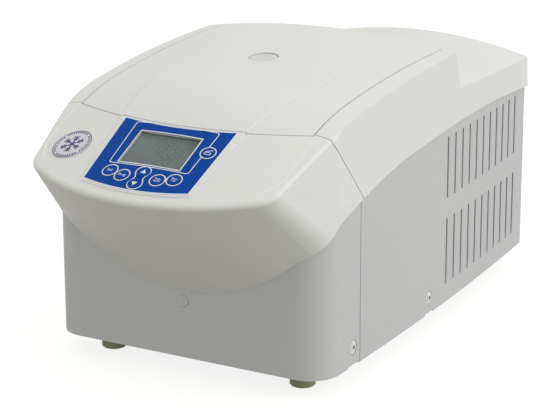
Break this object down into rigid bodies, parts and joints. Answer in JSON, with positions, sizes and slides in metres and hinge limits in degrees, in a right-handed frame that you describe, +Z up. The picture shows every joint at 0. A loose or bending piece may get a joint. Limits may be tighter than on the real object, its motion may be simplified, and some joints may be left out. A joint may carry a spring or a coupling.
{
  "type": "refrigerated microcentrifuge",
  "caption": "Bench-top cooled centrifuge for small tubes: grey base with side louvres, domed white lid hinged at the rear, overhanging console with display and keys.",
  "frame": {"origin": "centre of the footprint of the whole outline, on the floor under the rubber feet", "axes": "+X to the machine's right as seen from the front, +Y towards its back along its length, +Z up"},
  "size_m": [0.2776, 0.5411, 0.2637],
  "materials": {
    "white_plastic": "satin",
    "liner_plastic": "satin",
    "grey_paint": "satin powder coat",
    "zinc_steel": "zinc plated",
    "steel": "brushed",
    "rubber": "matte",
    "clear_glass": "clear",
    "black_plastic": "matt",
    "foam": "soft foam",
    "aluminium": "satin",
    "copper": "drawn tube",
    "motor_black": "semi-gloss",
    "circuit_board": "coated",
    "foil_blue": "satin foil",
    "label_film": "satin film",
    "display_glass": "glossy",
    "grey_plastic": "satin"
  },
  "bodies": {
    "base": {"base_pan": "zinc_steel", "rubber_feet": "rubber", "front_panel": "grey_paint", "rear_hood": "grey_paint", "side_screws": "steel", "front_cover": "white_plastic", "upper_housing": "white_plastic", "hinge_brackets": "zinc_steel", "hinge_pins": "steel", "side_frames": "zinc_steel", "chamber_deck": "zinc_steel", "lock_housing": "black_plastic", "lock_hook": "zinc_steel", "bulkhead": "zinc_steel", "chamber_bowl": "steel", "evaporator_coil": "copper", "bowl_insulation": "foam", "motor_buffers": "rubber", "motor_plate": "aluminium", "motor_body": "motor_black", "shaft_seal": "rubber", "compressor_grommets": "rubber", "compressor": "motor_black", "condenser": "aluminium", "fan_shroud": "black_plastic", "fan_motor": "motor_black", "filter_drier": "copper", "discharge_pipe": "copper", "suction_pipe": "copper", "drive_board": "circuit_board", "mains_inlet": "black_plastic", "switch_frame": "black_plastic", "control_foil": "foil_blue", "display_window": "display_glass", "display_module": "black_plastic", "control_board": "circuit_board", "cooling_badge": "label_film"},
    "lid": {"lid_shell": "white_plastic", "lid_liner": "liner_plastic", "lid_gasket": "rubber", "sight_window": "clear_glass", "sight_tube": "clear_glass", "lid_catch": "zinc_steel", "lid_hinge_plates": "zinc_steel"},
    "rotor": {"motor_shaft": "steel", "rotor": "aluminium", "rotor_lid": "aluminium"},
    "rotor_knob": {"rotor_knob": "black_plastic"},
    "fan": {"fan_wheel": "black_plastic"},
    "key_set": {"key_set": "foil_blue"},
    "key_program": {"key_program": "foil_blue"},
    "key_up": {"key_up": "foil_blue"},
    "key_down": {"key_down": "foil_blue"},
    "key_stop": {"key_stop": "foil_blue"},
    "key_start": {"key_start": "foil_blue"},
    "key_lid": {"key_lid": "foil_blue"},
    "release_plug": {"release_plug": "grey_plastic"},
    "fuse_drawer": {"fuse_drawer": "black_plastic"},
    "switch_rocker": {"switch_rocker": "black_plastic"}
  },
  "joints": [
    {"name": "lid_hinge", "type": "hinge", "parent": "base", "child": "lid", "pos_m": [0, 0.072, 0.245], "axis": [-1, 0, 0], "range_deg": [0, 75]},
    {"name": "rotor_spin", "type": "hinge", "parent": "base", "child": "rotor", "pos_m": [0, -0.046, 0.15], "axis": [0, 0, 1], "continuous": true},
    {"name": "rotor_knob_turn", "type": "hinge", "parent": "rotor", "child": "rotor_knob", "pos_m": [0, -0.046, 0.19], "axis": [0, 0, 1], "range_deg": [0, 90]},
    {"name": "fan_spin", "type": "hinge", "parent": "base", "child": "fan", "pos_m": [0.0687, 0.165, 0.0909], "axis": [1, 0, 0], "continuous": true},
    {"name": "press_set", "type": "slide", "parent": "base", "child": "key_set", "axis": [0.038, 0.4509, -0.8918], "range_m": [0, 0.0005], "stiffness_N_per_m": 400},
    {"name": "press_program", "type": "slide", "parent": "base", "child": "key_program", "axis": [0.0208, 0.4509, -0.8923], "range_m": [0, 0.0005], "stiffness_N_per_m": 400},
    {"name": "press_up", "type": "slide", "parent": "base", "child": "key_up", "axis": [-0.0007, 0.4509, -0.8926], "range_m": [0, 0.0005], "stiffness_N_per_m": 400},
    {"name": "press_down", "type": "slide", "parent": "base", "child": "key_down", "axis": [0.0007, 0.4509, -0.8926], "range_m": [0, 0.0005], "stiffness_N_per_m": 400},
    {"name": "press_stop", "type": "slide", "parent": "base", "child": "key_stop", "axis": [-0.0213, 0.4509, -0.8923], "range_m": [0, 0.0005], "stiffness_N_per_m": 400},
    {"name": "press_start", "type": "slide", "parent": "base", "child": "key_start", "axis": [-0.0385, 0.4509, -0.8918], "range_m": [0, 0.0005], "stiffness_N_per_m": 400},
    {"name": "press_lid", "type": "slide", "parent": "base", "child": "key_lid", "axis": [-0.0516, 0.4509, -0.8911], "range_m": [0, 0.0005], "stiffness_N_per_m": 400},
    {"name": "release_pull", "type": "slide", "parent": "base", "child": "release_plug", "axis": [0, -1, 0], "range_m": [0, 0.018]},
    {"name": "fuse_drawer_slide", "type": "slide", "parent": "base", "child": "fuse_drawer", "axis": [0, 1, 0], "range_m": [0, 0.012]},
    {"name": "switch_rock", "type": "hinge", "parent": "base", "child": "switch_rocker", "pos_m": [-0.098, 0.263, 0.076], "axis": [1, 0, 0], "range_deg": [-7, 7]}
  ]
}
